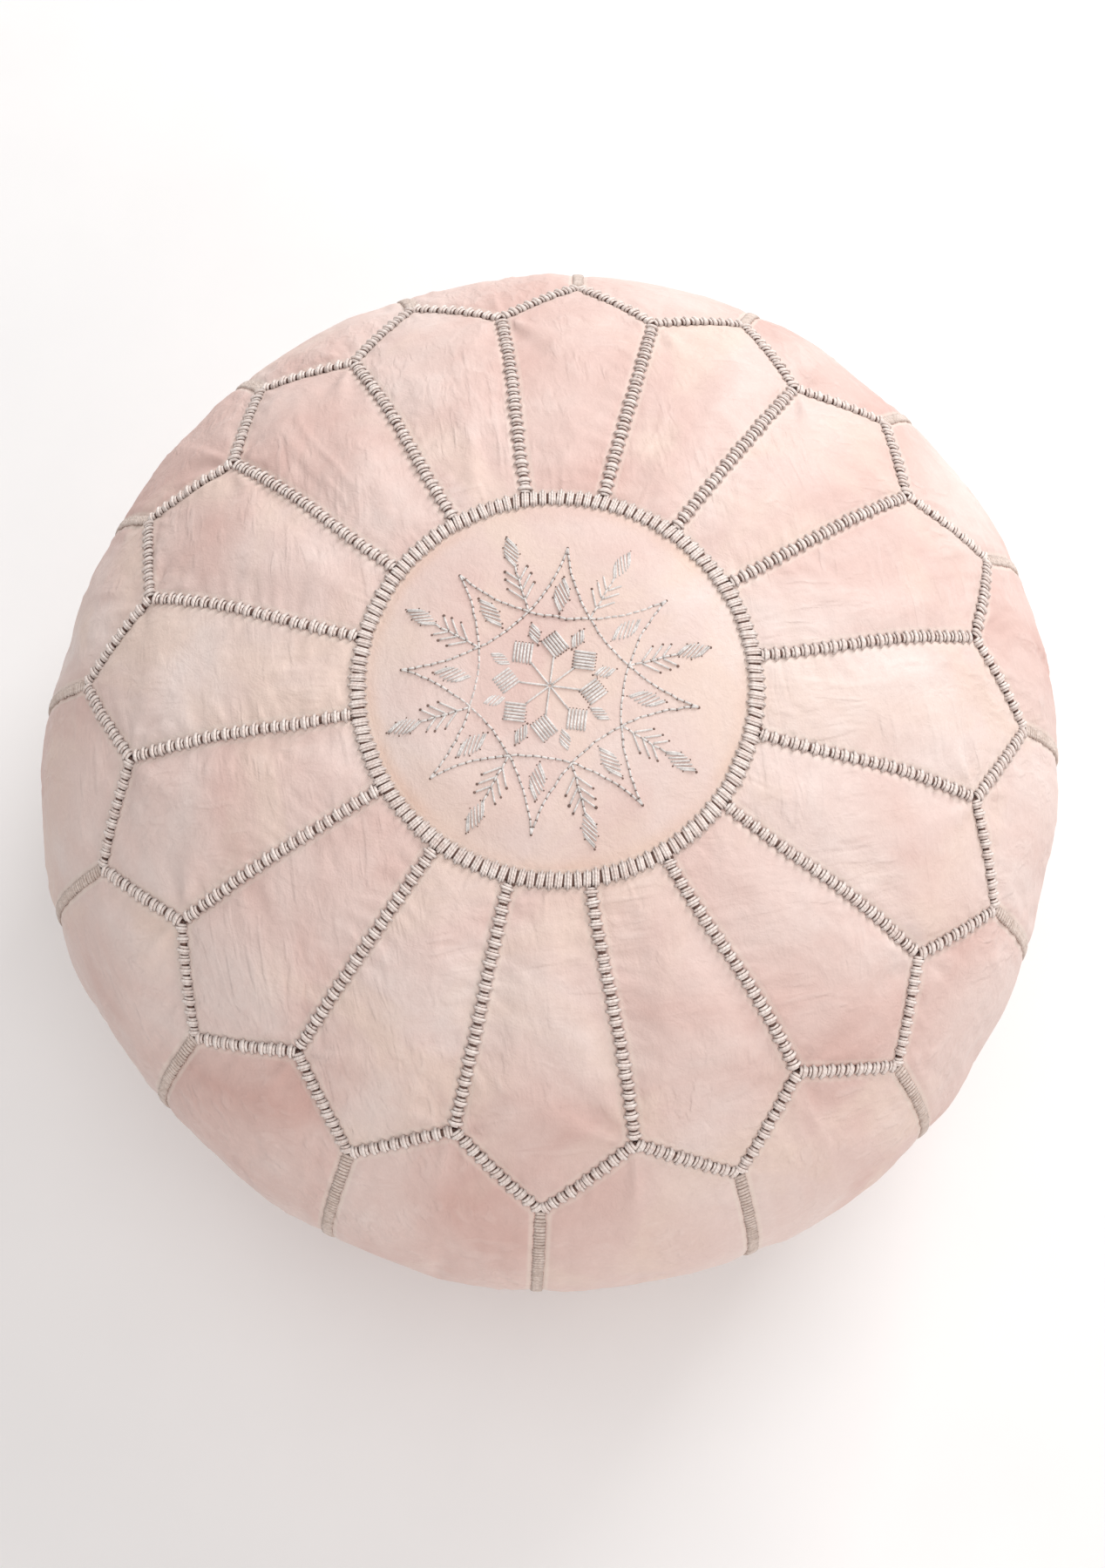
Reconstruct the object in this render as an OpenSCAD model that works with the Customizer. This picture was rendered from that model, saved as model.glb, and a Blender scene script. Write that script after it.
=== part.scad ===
// Round leather floor pouf: sixteen pentagon petals round an embroidered medallion,
// sixteen side panels, a zipped base and a stuffed liner bag.
// Origin: centre of the footprint on the floor. +Z is up, the zip runs along X.

/* [Overall shape] */
// Radius of the leather at its widest, measured at the seams
body_r = 256; // [215:1:310]
// Height of the widest point above the floor
waist_z = 148; // [120:1:180]
// Rise of the crown above the widest point
crown_h = 138; // [110:1:170]
// Roundness of the upper half: 2 is an ellipse, more is squarer
crown_power = 2.2; // [2:0.1:2.6]
// Roundness of the lower half
belly_power = 2.6; // [2.2:0.1:3]
// Distance from the widest radius in to the base seam
base_inset = 76; // [60:1:92]

/* [Panels] */
// Number of petals, and of side panels
petal_count = 16; // [12:2:20]
// Radius of the seam round the medallion
medallion_r = 87.5; // [75:0.5:100]
// Distance from the widest radius in to the spokes' ends, at the zigzag seam's inner corners
spoke_end_inset = 60; // [50:1:75]
// Distance from the widest radius in to the petals' tips, at the zigzag seam's outer corners
petal_tip_inset = 35; // [25:1:45]
// Thickness of the leather
leather_t = 1.6; // [1:0.1:2.5]
// Gap between the edges of two panels, under their seam
edge_gap = 0.4; // [0.2:0.1:1]

/* [Seams] */
// Width of the whipped seam round the medallion
ring_seam_w = 9; // [6:0.5:12]
// Width of the spoke and zigzag seams
seam_w = 5.5; // [4:0.5:8]
// Height of the whipped seams above the leather
seam_h = 1.8; // [1:0.1:3]
// Width of the flat side seams
side_seam_w = 6; // [4:0.5:9]
// Height of the flat side seams
side_seam_h = 1; // [0.6:0.1:2]
// Width of the base seam that the pouf stands on
base_seam_w = 10; // [6:0.5:14]
// Clearance between sewn layers
layer_gap = 0.1; // [0.05:0.05:0.3]

/* [Embroidery] */
// Plain leather between the medallion's seam and the embroidery, if that were centred
star_margin = 11.5; // [6:0.5:20]
// Turn of the star against the spokes, in degrees
star_turn = 29; // [0:0.5:45]
// How far the hand-placed star sits off the medallion's centre, in x and y
star_shift = [-4, -3]; // [-4:0.5:4]
// Width of a stitched line
thread_w = 0.9; // [0.5:0.1:1.5]
// Height of the stitches above the leather
thread_h = 0.6; // [0.3:0.1:1]

/* [Filling] */
// Clearance between the leather and the liner bag
liner_gap = 0.6; // [0.3:0.1:2]
// Thickness of the liner bag's cotton
liner_t = 0.8; // [0.5:0.1:1.5]
// Gap between the two halves of the liner bag at its seam
liner_seam_gap = 0.4; // [0.2:0.1:1]

/* [Base and zip] */
// Height of the base leather's underside above the floor
base_lift = 5; // [4.5:0.1:7]
// Distance from the base seam in to each end of the zip's teeth
zip_end_gap = 28; // [26:1:50]
// Half the width of the slider
slider_half_w = 5.4; // [5:0.1:7]
// Clearance between the slider and the edges of the slot in the base
slot_gap = 0.8; // [0.4:0.1:2]
// Width of each zip tape
tape_w = 14; // [11:0.5:18]
// Thickness of the zip tapes
tape_t = 0.6; // [0.4:0.1:0.9]
// Distance from the zip's centre line to each tape's inner edge
tape_edge_y = 2.3; // [2.2:0.1:2.8]
// Distance between teeth on one tape
tooth_pitch = 3.2; // [2.8:0.1:4]
// Thickness of the teeth
tooth_h = 2.6; // [2:0.1:3]
// Clearance between the slider and the zip
slider_gap = 0.25; // [0.15:0.05:0.4]
// Wall of the slider's plates
slider_wall = 1.2; // [0.9:0.1:1.5]
// Length of the slider
slider_length = 15; // [12:0.5:20]
// Length of the pull tab from its pin
tab_length = 26; // [18:1:36]
// Width of the pull tab
tab_w = 7; // [5:0.5:10]

/* [Hidden] */
petal_names = [for (k = [1:petal_count]) str("top_petal_", k < 10 ? "0" : "", k)];
side_names = [for (k = [1:petal_count]) str("side_panel_", k < 10 ? "0" : "", k)];

petal_angle = 360 / petal_count;
far = 2 * body_r;                    // reach of the cutting blocks
base_r = body_r - base_inset;        // radius of the base seam
spoke_end_r = body_r - spoke_end_inset;
petal_tip_r = body_r - petal_tip_inset;
seam_focus = [0, 0, waist_z - 0.7 * body_r];   // every seam plane passes through this point
profile_step = 6;                    // degrees between the points of the outline
profile_end = 162;                   // degrees from the top to the outline's last point, below the base
round_fn = 180;

// ---- outline of the body ----

// Half height of the lower half, such that the outline meets the base at base_r
belly_h = (waist_z - base_lift) / pow(1 - pow(base_r / body_r, belly_power), 1 / belly_power);

// Point of the outline at angle t from the top, moved outwards by out
function outline(t, out) =
    let (upper = t <= 90,
         p = upper ? crown_power : belly_power,
         h = upper ? crown_h : belly_h,
         s = pow(sin(t), 2 / p),
         c = pow(abs(cos(t)), 2 / p) * (upper ? 1 : -1),
         nr = pow(s, p - 1) / body_r,
         nz = pow(abs(c), p - 1) * (upper ? 1 : -1) / h,
         n = norm([nr, nz]))
    [body_r * s + out * nr / n, waist_z + h * c + out * nz / n];

// Height of the upper surface at radius r
function crown_z(r) = waist_z + crown_h * pow(1 - pow(r / body_r, crown_power), 1 / crown_power);

// A shell of the whole body between two offsets from the outline
module skin_shell(inner, outer) {
    steps = [for (t = [0:profile_step:profile_end]) t];
    rotate_extrude($fn = round_fn)
        polygon(concat([for (t = steps) outline(t, outer)],
                       [for (i = [len(steps) - 1:-1:0]) outline(steps[i], inner)]));
}

// The solid inside an offset of the outline, above a floor height
module skin_core(out, floor_z) {
    steps = [for (t = [0:profile_step:profile_end]) t];
    rotate_extrude($fn = round_fn)
        intersection() {
            polygon(concat([for (t = steps) outline(t, out)], [[0, outline(profile_end, out)[1]]]));
            translate([0, floor_z]) square([far, far]);
        }
}

// ---- seam planes ----

// Half space on the side of unit normal n, starting at a distance from the plane through the focus
module half_space(n, distance) {
    translate(seam_focus) rotate([0, acos(n[2]), atan2(n[1], n[0])])
        translate([-far, -far, distance]) cube([2 * far, 2 * far, 2 * far]);
}

function spot(r, a) = [r * cos(a), r * sin(a), crown_z(r)];
function unit(v) = v / norm(v);

// Normal of the zigzag seam's plane from a spoke end to a petal tip, pointing away from the medallion
function zigzag_normal(spoke_a, tip_a) =
    let (n = unit(cross(spot(spoke_end_r, spoke_a) - seam_focus, spot(petal_tip_r, tip_a) - seam_focus)))
    n[2] < 0 ? n : -n;

// Normal of the upright plane at angle a, pointing anticlockwise
function turn_normal(a) = [-sin(a), cos(a), 0];

// The wedge between two upright planes, less a margin at each
module wedge(a0, a1, margin) {
    intersection() {
        half_space(turn_normal(a0), margin);
        half_space(-turn_normal(a1), margin);
    }
}

// The region on the petals' side of the zigzag seam at the petal from a0 to a0 + petal_angle
module petal_side(a0, margin) {
    tip = a0 + petal_angle / 2;
    intersection() {
        half_space(-zigzag_normal(a0, tip), margin);
        half_space(-zigzag_normal(a0 + petal_angle, tip), margin);
    }
}

// The region beyond the zigzag seam at the side panel centred on a
module side_side(a, margin) {
    intersection() {
        half_space(zigzag_normal(a, a - petal_angle / 2), margin);
        half_space(zigzag_normal(a, a + petal_angle / 2), margin);
    }
}

module below_waist(radius) {
    translate([0, 0, waist_z - far]) cylinder(r = radius, h = far, $fn = round_fn);
}

module upright_tube(inner_r, outer_r) {
    difference() {
        cylinder(r = outer_r, h = far, $fn = round_fn);
        translate([0, 0, -1]) cylinder(r = inner_r, h = far + 2, $fn = round_fn);
    }
}

// ---- leather panels ----

module medallion() {
    color("mistyrose") intersection() {
        skin_shell(-leather_t, 0);
        translate([0, 0, waist_z]) cylinder(r = medallion_r - edge_gap / 2, h = far, $fn = round_fn);
    }
}

module top_petal(k) {
    a0 = k * petal_angle;
    color("mistyrose") difference() {
        intersection() {
            skin_shell(-leather_t, 0);
            wedge(a0, a0 + petal_angle, edge_gap / 2);
            petal_side(a0, edge_gap / 2);
        }
        cylinder(r = medallion_r + edge_gap / 2, h = far, $fn = round_fn);
    }
}

module side_panel(k) {
    a = k * petal_angle;
    color("pink") difference() {
        intersection() {
            skin_shell(-leather_t, 0);
            wedge(a - petal_angle / 2, a + petal_angle / 2, edge_gap / 2);
            side_side(a, edge_gap / 2);
        }
        below_waist(base_r + edge_gap / 2);
    }
}

// ---- whipped seams ----

module medallion_seam() {
    color("beige") intersection() {
        skin_shell(layer_gap, seam_h);
        translate([0, 0, waist_z])
            upright_tube(medallion_r - ring_seam_w / 2, medallion_r + ring_seam_w / 2);
    }
}

// A strip along the plane with normal n, that follows the surface
module seam_strip(n, width, height) {
    intersection() {
        skin_shell(layer_gap, height);
        half_space(n, -width / 2);
        half_space(-n, -width / 2);
    }
}

module spoke_seams() {
    color("beige") for (k = [0:petal_count - 1]) {
        a = k * petal_angle;
        difference() {
            intersection() {
                seam_strip(turn_normal(a), seam_w, seam_h);
                wedge(a - petal_angle / 2, a + petal_angle / 2, 0);
                translate([0, 0, waist_z])
                    upright_tube(medallion_r + ring_seam_w / 2 + layer_gap, petal_tip_r);
            }
            side_side(a, -seam_w / 2 - layer_gap);
        }
    }
}

module zigzag_seam() {
    color("beige") for (k = [0:petal_count - 1], half = [0, 1]) {
        spoke_a = (k + half) * petal_angle;
        tip_a = (k + 0.5) * petal_angle;
        intersection() {
            seam_strip(zigzag_normal(spoke_a, tip_a), seam_w, seam_h);
            wedge(min(spoke_a, tip_a), max(spoke_a, tip_a), 0);
        }
    }
}

module side_seams() {
    color("linen") for (k = [0:petal_count - 1]) {
        a = (k + 0.5) * petal_angle;
        difference() {
            intersection() {
                seam_strip(turn_normal(a), side_seam_w, side_seam_h);
                wedge(a - petal_angle / 2, a + petal_angle / 2, 0);
            }
            petal_side(k * petal_angle, -seam_w / 2 - layer_gap);
            below_waist(base_r + base_seam_w / 2 + layer_gap);
        }
    }
}

// The ring that the pouf stands on, with its lower corners taken off
module base_seam() {
    chamfer = base_lift / 3;
    top = base_lift - layer_gap;
    color("beige") rotate_extrude($fn = round_fn) translate([base_r, 0])
        polygon([[-base_seam_w / 2, top], [-base_seam_w / 2, chamfer],
                 [chamfer - base_seam_w / 2, 0], [base_seam_w / 2 - chamfer, 0],
                 [base_seam_w / 2, chamfer], [base_seam_w / 2, top]]);
}

// ---- embroidery ----

star_points = 8;
bud_reach = 1.1;                     // the outermost leaves' ends, as a share of the star's radius
star_r = (medallion_r - ring_seam_w / 2 - star_margin) / bud_reach;
star_step = 360 / star_points;
star_neck = 0.485 * star_r;          // distance of each bowed line's middle from the centre
cross_r = 0.55 * star_r;             // where two neighbouring lines cross
leaf_w = 0.077 * star_r;
square_r = 0.292 * star_r;
square_w = 0.13 * star_r;
sprig_r = [0.30 * star_r, 0.46 * star_r];      // small leaves inside the star
leaf_r = [0.54 * star_r, 0.757 * star_r];      // leaves in the star's points
bud_r = [0.89 * star_r, bud_reach * star_r];   // leaves at the ends of the branches
barb_rise = 0.075 * star_r;

// A flat stitched line through a list of points
module stitched_line(points) {
    for (i = [0:len(points) - 2]) {
        step = points[i + 1] - points[i];
        translate(points[i]) rotate(atan2(step[1], step[0]))
            translate([-thread_w / 2, -thread_w / 2]) square([norm(step) + thread_w, thread_w]);
    }
}

// An almond shape along X from r0 to r1
module leaf(r0, r1, width) {
    half = (r1 - r0) / 2;
    radius = (half * half + width * width / 4) / width;
    translate([(r0 + r1) / 2, 0]) intersection() {
        translate([0, radius - width / 2]) circle(radius, $fn = 90);
        translate([0, width / 2 - radius]) circle(radius, $fn = 90);
    }
}

// One of the eight lines from a star point to the next but one, bowed towards the centre
module star_line() {
    tip = star_r * [cos(star_step), sin(star_step)];
    sag = tip[0] - star_neck;
    bow_r = (tip[1] * tip[1] + sag * sag) / (2 * sag);
    reach = asin(tip[1] / bow_r);
    translate([star_neck + bow_r, 0]) intersection() {
        difference() {
            circle(bow_r + thread_w / 2, $fn = round_fn);
            circle(bow_r - thread_w / 2, $fn = round_fn);
        }
        polygon([[0, 0], 2 * bow_r * [-1, tan(reach)], 2 * bow_r * [-1, -tan(reach)]]);
    }
}

// A stem with two pairs of barbs and a bud
module branch() {
    stitched_line([[cross_r, 0], [bud_r[0], 0]]);
    for (start = [0.64 * star_r, 0.72 * star_r], side = [-1, 1])
        stitched_line([[start, 0], [start + barb_rise, side * barb_rise]]);
    leaf(bud_r[0], bud_r[1], leaf_w);
}

module star_motif() {
    for (k = [0:star_points - 1]) rotate(star_turn + k * star_step) {
        star_line();
        leaf(leaf_r[0], leaf_r[1], leaf_w);
        translate([square_r, 0]) rotate(45) square(square_w, center = true);
        stitched_line([[0, 0], [square_r - square_w * 0.7, 0]]);
        rotate(star_step / 2) {
            branch();
            leaf(sprig_r[0], sprig_r[1], 0.7 * leaf_w);
        }
    }
}

module medallion_embroidery() {
    color("silver") intersection() {
        skin_shell(layer_gap, layer_gap + thread_h);
        translate([star_shift[0], star_shift[1], waist_z]) linear_extrude(far) star_motif();
    }
}

// ---- base and zip ----

tape_z = base_lift + leather_t + layer_gap;    // underside of the tapes
chain_z = tape_z + tape_t / 2;                 // middle plane of the chain
chain_end = base_r - zip_end_gap;
slot_half_w = slider_half_w + slot_gap;
slot_end = chain_end + 4;                      // the slot and the tapes run on past the teeth
tape_end = slot_end + 4;

// Half of the round base, with half of the slot for the zip; side is 1 at the back and -1 at the front
module base_half(side) {
    color("pink") translate([0, 0, base_lift]) linear_extrude(leather_t) difference() {
        circle(base_r - edge_gap / 2, $fn = round_fn);
        translate([-far, side > 0 ? edge_gap / 2 - far : -edge_gap / 2]) square([2 * far, far]);
        translate([-slot_end, -slot_half_w]) square([2 * slot_end, 2 * slot_half_w]);
    }
}

module zip_tape(side) {
    inner = tape_edge_y;
    color("wheat") translate([-tape_end, side > 0 ? inner : -inner - tape_w, tape_z])
        cube([2 * tape_end, tape_w, tape_t]);
}

// A row of teeth joined by the beaded edge that they are moulded on
module zip_teeth(side) {
    tooth_t = tooth_pitch * 0.44;              // width of a tooth along the zip
    head_y = 0.55;                             // how far a tooth reaches past the centre line
    bead_y = tape_edge_y - layer_gap;
    bead_w = 0.8;
    count = floor(2 * chain_end / tooth_pitch) - 3;
    shift = side > 0 ? 0 : tooth_pitch / 2;
    color("gainsboro") mirror([0, side > 0 ? 0 : 1, 0]) {
        for (i = [0:count - 1])
            translate([i * tooth_pitch + shift - chain_end, -head_y, chain_z - tooth_h / 2])
                cube([tooth_t, bead_y + head_y, tooth_h]);
        translate([-chain_end, bead_y - bead_w, chain_z - bead_w])
            cube([2 * (chain_end - tooth_pitch), bead_w, 2 * bead_w]);
    }
}

stop_size = [3, 2, tooth_h];

module zip_top_stops() {
    color("silver") for (side = [-1, 1])
        translate([chain_end + 1, side * (tape_edge_y - layer_gap - stop_size[1] / 2) - stop_size[1] / 2,
                   chain_z - tooth_h / 2])
            cube(stop_size);
}

module zip_bottom_stop() {
    width = 2 * (tape_edge_y - layer_gap);
    color("silver") translate([-chain_end - stop_size[0] - layer_gap, -width / 2, chain_z - tooth_h / 2])
        cube([stop_size[0], width, tooth_h]);
}

inside_half_h = tooth_h / 2 + slider_gap;              // half the height of the slider's channel
slider_front = chain_end;                              // the nose, when the zip is closed
slider_back = slider_front - slider_length;
pin_r = 0.7;
pin_x = slider_back + slider_length / 2;
pin_z = chain_z - inside_half_h - slider_wall - pin_r - 0.15;
bridge_t = 0.9;

// One plate of the slider with its side flanges; side is 1 above the chain and -1 below it
module slider_plate(side) {
    flange_h = inside_half_h - tape_t / 2 - slider_gap;
    flange_t = 1;
    mirror([0, 0, side > 0 ? 0 : 1]) translate([0, 0, inside_half_h]) {
        linear_extrude(slider_wall) slider_outline();
        for (edge = [-1, 1])
            translate([slider_back + 1, edge * (slider_half_w - flange_t / 2) - flange_t / 2, -flange_h])
                cube([slider_length - 3, flange_t, flange_h + slider_wall / 2]);
    }
}

// Seen from above: narrow at the closed end, with rounded corners at the nose
module slider_outline() {
    nose_r = 2.2;
    translate([slider_back, -slider_half_w])
        square([slider_length - nose_r, 2 * slider_half_w]);
    translate([slider_front - nose_r - 0.01, nose_r - slider_half_w])
        square([nose_r + 0.01, 2 * (slider_half_w - nose_r)]);
    for (edge = [-1, 1])
        translate([slider_front - nose_r, edge * (slider_half_w - nose_r)]) circle(nose_r, $fn = 40);
}

// The slider: two plates, the wedge that parts the teeth, and the bridge for the pull tab
module zip_slider() {
    wedge_l = 3.4;                             // the wedge's length, and half its widths
    wedge_half_w = [1.5, 1.2];
    arch_x = 3.2;                              // half the bridge's length
    arch_w = 2.4;
    arch_bottom = pin_z - pin_r - 0.3 - bridge_t;
    plate_bottom = chain_z - inside_half_h - slider_wall;
    color("silver") {
        translate([0, 0, chain_z]) {
            slider_plate(1);
            slider_plate(-1);
            translate([slider_front - wedge_l - 0.2, 0, -inside_half_h - 0.1])
                linear_extrude(2 * inside_half_h + 0.2)
                    polygon([[0, 0], [wedge_l * 0.6, wedge_half_w[0]], [wedge_l, wedge_half_w[1]],
                             [wedge_l, -wedge_half_w[1]], [wedge_l * 0.6, -wedge_half_w[0]]]);
        }
        translate([pin_x - arch_x - bridge_t, -arch_w / 2, arch_bottom])
            cube([2 * (arch_x + bridge_t), arch_w, bridge_t]);
        for (end = [-1, 1])
            translate([pin_x + end * (arch_x + bridge_t / 2) - bridge_t / 2, -arch_w / 2, arch_bottom])
                cube([bridge_t, arch_w, plate_bottom - arch_bottom + 0.2]);
    }
}

// The pull tab: a flat tab with a window at its end for the bridge, and a hole at the other
module zip_pull() {
    tab_t = 1.1;
    window_l = 5;
    window_w = 3.2;
    hole_r = 1.6;
    color("silver") translate([pin_x, 0, pin_z]) {
        rotate([90, 0, 0]) cylinder(r = pin_r, h = tab_w - 1.4, center = true, $fn = 40);
        translate([0, 0, -tab_t / 2]) linear_extrude(tab_t) difference() {
            union() {
                translate([-tab_length + tab_w / 2, -tab_w / 2]) square([tab_length - tab_w / 2, tab_w]);
                translate([-tab_length + tab_w / 2, 0]) circle(tab_w / 2, $fn = 60);
            }
            translate([-window_l, -window_w / 2]) square([window_l + 1, window_w]);
            translate([-tab_length + tab_w / 2, 0]) circle(hole_r, $fn = 40);
        }
    }
}

// ---- inside ----

slider_top = chain_z + inside_half_h + slider_wall;
liner_floor = slider_top + 0.8;

module liner() {
    outer = leather_t + liner_gap;
    color("ivory") difference() {
        skin_core(-outer, liner_floor);
        skin_core(-outer - liner_t, liner_floor + liner_t);
    }
}

module liner_top() {
    intersection() {
        liner();
        translate([-far, -far, waist_z + liner_seam_gap / 2]) cube([2 * far, 2 * far, far]);
    }
}

module liner_bottom() {
    intersection() {
        liner();
        translate([-far, -far, waist_z - liner_seam_gap / 2 - far]) cube([2 * far, 2 * far, far]);
    }
}

module filling() {
    inset = leather_t + liner_gap + liner_t + 0.3;
    color("white") skin_core(-inset, liner_floor + liner_t + 0.3);
}

// ---- drawing ----

for (k = [0:petal_count - 1]) {
    top_petal(k);
    side_panel(k);
}
medallion();
medallion_seam();
spoke_seams();
zigzag_seam();
side_seams();
base_seam();
medallion_embroidery();
base_half(-1);  // base_half_front
base_half(1);  // base_half_back
zip_tape(-1);  // zip_tape_front
zip_tape(1);  // zip_tape_back
zip_teeth(-1);  // zip_teeth_front
zip_teeth(1);  // zip_teeth_back
zip_top_stops();
zip_bottom_stop();
zip_slider();
zip_pull();
liner_top();
liner_bottom();
filling();
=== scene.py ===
"""Looks of the round leather pouf: stuffed leather panels, whipped seams, embroidery, base and liner."""
import math
import bpy
import numpy as np
from mathutils import Matrix, Vector


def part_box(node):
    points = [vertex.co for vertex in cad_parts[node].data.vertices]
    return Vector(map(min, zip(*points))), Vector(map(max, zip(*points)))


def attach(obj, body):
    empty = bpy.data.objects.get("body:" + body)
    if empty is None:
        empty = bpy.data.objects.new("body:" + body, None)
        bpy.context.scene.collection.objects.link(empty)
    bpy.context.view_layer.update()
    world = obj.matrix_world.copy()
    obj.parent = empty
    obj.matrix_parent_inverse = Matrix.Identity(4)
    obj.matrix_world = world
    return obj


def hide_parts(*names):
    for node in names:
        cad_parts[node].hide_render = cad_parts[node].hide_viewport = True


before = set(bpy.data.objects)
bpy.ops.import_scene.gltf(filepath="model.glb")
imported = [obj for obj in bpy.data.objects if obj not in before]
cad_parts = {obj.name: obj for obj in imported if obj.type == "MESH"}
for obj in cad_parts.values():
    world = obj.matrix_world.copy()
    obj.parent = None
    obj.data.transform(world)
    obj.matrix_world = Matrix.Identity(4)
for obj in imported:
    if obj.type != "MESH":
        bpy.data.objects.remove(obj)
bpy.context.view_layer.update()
rng = np.random.default_rng(7)

# ---------------- sizes, in metres and radians
PANELS = 16  # petals, and side panels
STEP = 2 * math.pi / PANELS
CROWN_POWER, BELLY_POWER = 2.2, 2.6  # roundness of the upper and the lower half
body_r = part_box("side_panel_01")[1].x
waist_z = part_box("liner_top")[0].z
crown_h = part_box("medallion")[1].z - waist_z
base_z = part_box("base_half_back")[0].z
base_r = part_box("base_half_back")[1].x
medallion_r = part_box("medallion")[1].x
spoke_end_r = body_r - 0.060  # the zigzag seam's inner corners
petal_tip_r = body_r - 0.035  # its outer corners
focus_z = waist_z - 0.7 * body_r  # the zigzag's planes pass through this height on the axis
LEATHER = 0.0016
EDGE = 0.0003  # from a seam's middle to each panel's edge
RING_W, SEAM_W, SIDE_W, BASE_W = 0.0078, 0.0058, 0.0043, 0.0098
RING_H, SEAM_H, SIDE_H = 0.0021, 0.0024, 0.0011
RING_PITCH, SPOKE_PITCH, ZIGZAG_PITCH, SIDE_PITCH = 0.0040, 0.0047, 0.0048, 0.00205
BASE_STITCHES = 232


def circle(count):
    """Angles of evenly spaced points round a circle."""
    return np.linspace(0, 2 * math.pi, count, endpoint=False)


def smooth(x, low, high):
    """0 below low, 1 above high, and a smooth rise between."""
    t = np.clip((x - low) / (high - low), 0, 1)
    return t * t * (3 - 2 * t)


# ---------------- the body's surface
def outline_tables():
    """The outline from the crown to the base: distance along it, radius, height and normal."""
    belly_h = (waist_z - base_z) / (1 - (base_r / body_r) ** BELLY_POWER) ** (1 / BELLY_POWER)
    end = math.pi - math.acos(((waist_z - base_z) / belly_h) ** (BELLY_POWER / 2))
    t = np.linspace(0, end, 8001)
    upper = t <= math.pi / 2
    power = np.where(upper, CROWN_POWER, BELLY_POWER)
    r = body_r * np.sin(t) ** (2 / power)
    rise = np.abs(np.cos(t)) ** (2 / power)
    z = waist_z + np.where(upper, crown_h * rise, -belly_h * rise)
    s = np.concatenate([[0], np.cumsum(np.hypot(np.diff(r), np.diff(z)))])
    tr, tz = np.gradient(r, s), np.gradient(z, s)
    length = np.hypot(tr, tz)
    return s, r, z, -tz / length, tr / length


S, R, Z, NR, NZ = outline_tables()
s_base = S[-1]
s_waist = S[np.argmax(R)]


def s_at(r):
    """Distance along the upper half of the outline to radius r."""
    upper = S <= s_waist
    return np.interp(r, R[upper], S[upper])


s_ring = s_at(medallion_r)


def lobes(a):
    """How far the hand-stuffed body is out of round at angle a, as a share of its radius."""
    return (0.010 * np.cos(a + 1.85) + 0.013 * np.cos(2 * a - 2.5) + 0.006 * np.cos(3 * a - 2.85)
            + 0.0045 * np.cos(4 * a - 0.5) + 0.004 * np.cos(6 * a - 0.5) - 0.006)


LOBE_REACH = 0.09  # height over which the lobes fade
CROWN_SHIFT = np.array([-0.0017, -0.0017, 0])  # the medallion is sewn a little off the middle


def wander(s, a):
    """Hand-cut panels: the seams between the ring and the base stray a little along and round the body."""
    low = 1 - smooth(s, s_base - 0.12, s_base - 0.015)
    out = smooth(s, s_ring + 0.005, s_ring + 0.09) * low
    along = 0.0012 * np.cos(2 * a + 2.8) + 0.0011 * np.cos(4 * a + 0.4) + 0.0014 * np.cos(7 * a - 1.0)
    across = 0.0084 * np.cos(2 * a - 1.5) * smooth(s, 0.02, 0.08) * low
    return s + out * along, a + across + out * (0.016 * np.cos(a + 0.63) + 0.0035 * np.cos(5 * a + 0.4))


def skin(s, a, out=0.0):
    """Points on the body at distance s along the outline and angle a, moved outwards by out."""
    s, a, out = np.broadcast_arrays(np.asarray(s, float), a, out)
    shift = (1 - smooth(s, s_ring + 0.01, s_ring + 0.08))[..., None] * CROWN_SHIFT
    s, a = wander(s, a)
    r = np.interp(s, S, R) + out * np.interp(s, S, NR)
    z = np.interp(s, S, Z) + out * np.interp(s, S, NZ)
    r = r * (1 + lobes(a) * np.exp(-((z - waist_z) / LOBE_REACH) ** 2))
    return np.stack([r * np.cos(a), r * np.sin(a), z], -1) + shift


def skin_normal(s, a):
    s, a = np.broadcast_arrays(s, a)
    nr, nz = np.interp(s, S, NR), np.interp(s, S, NZ)
    return np.stack([nr * np.cos(a), nr * np.sin(a), nz], -1)


def zigzag_s(a):
    """Distance along the outline at which the zigzag seam crosses angle a."""
    a = np.asarray(a, float)
    local = np.abs((a / STEP + 0.5) % 1 - 0.5) * STEP
    upper = S <= s_waist
    ends = []
    for r, turn in ((spoke_end_r, 0), (petal_tip_r, STEP / 2)):
        z = np.interp(s_at(r), S, Z)
        ends.append(np.array([r * math.cos(turn), r * math.sin(turn), z - focus_z]))
    n = np.cross(*ends)
    found, where = np.unique(np.round(local, 9), return_inverse=True)
    cut = []
    for turn in found:
        side = n[0] * R[upper] * np.cos(turn) + n[1] * R[upper] * np.sin(turn) + n[2] * (Z[upper] - focus_z)
        order = np.argsort(side)
        cut.append(np.interp(0, side[order], S[upper][order]))
    return np.array(cut)[where].reshape(a.shape)


zigzag_slope = float(zigzag_s(STEP / 2) - zigzag_s(0.0)) / (STEP / 2 * spoke_end_r)
ZIGZAG_LEAN = 1 / math.hypot(1, zigzag_slope)  # from distance down the body to distance from the seam


# ---------------- smooth noise
def lattice(i, seed):
    """A fixed number from -1 to 1 for each point of a whole-number lattice."""
    h = i[..., 0] * 374761393 + i[..., 1] * 668265263 + i[..., 2] * 1274126177 + seed * 974634777
    h = h & 0xFFFFFFFF
    h = ((h ^ (h >> 13)) * 1103515245) & 0xFFFFFFFF
    h = ((h ^ (h >> 15)) * 668265263) & 0xFFFFFFFF
    return ((h ^ (h >> 16)) & 0xFFFF) / 32767.5 - 1


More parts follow.
